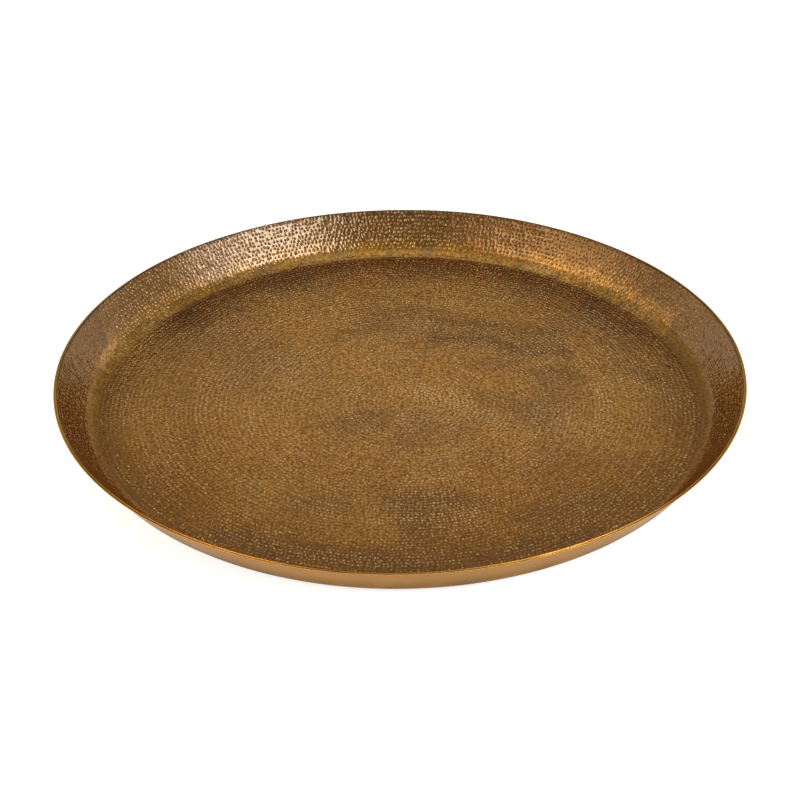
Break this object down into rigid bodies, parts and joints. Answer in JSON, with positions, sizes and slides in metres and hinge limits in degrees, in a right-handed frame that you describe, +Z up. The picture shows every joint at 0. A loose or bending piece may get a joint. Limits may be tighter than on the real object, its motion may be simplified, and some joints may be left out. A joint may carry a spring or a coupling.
{
  "type": "tray",
  "caption": "Round, shallow brass serving tray with a flared wall and a thick plain lip, hammered all over inside, that stands flat on its base.",
  "frame": {"origin": "centre of the tray, on the flat underside that it stands on", "axes": "+Z up along the tray's axis; the tray is round, so +X and +Y may be any two horizontal directions"},
  "size_m": [0.5, 0.5, 0.033],
  "materials": {
    "antique_brass": "antiqued: dark patina in the hammer marks, rubbed satin on the high metal, the lip polished bright"
  },
  "bodies": {
    "root": {"tray_dish": "antique_brass"}
  },
  "joints": []
}
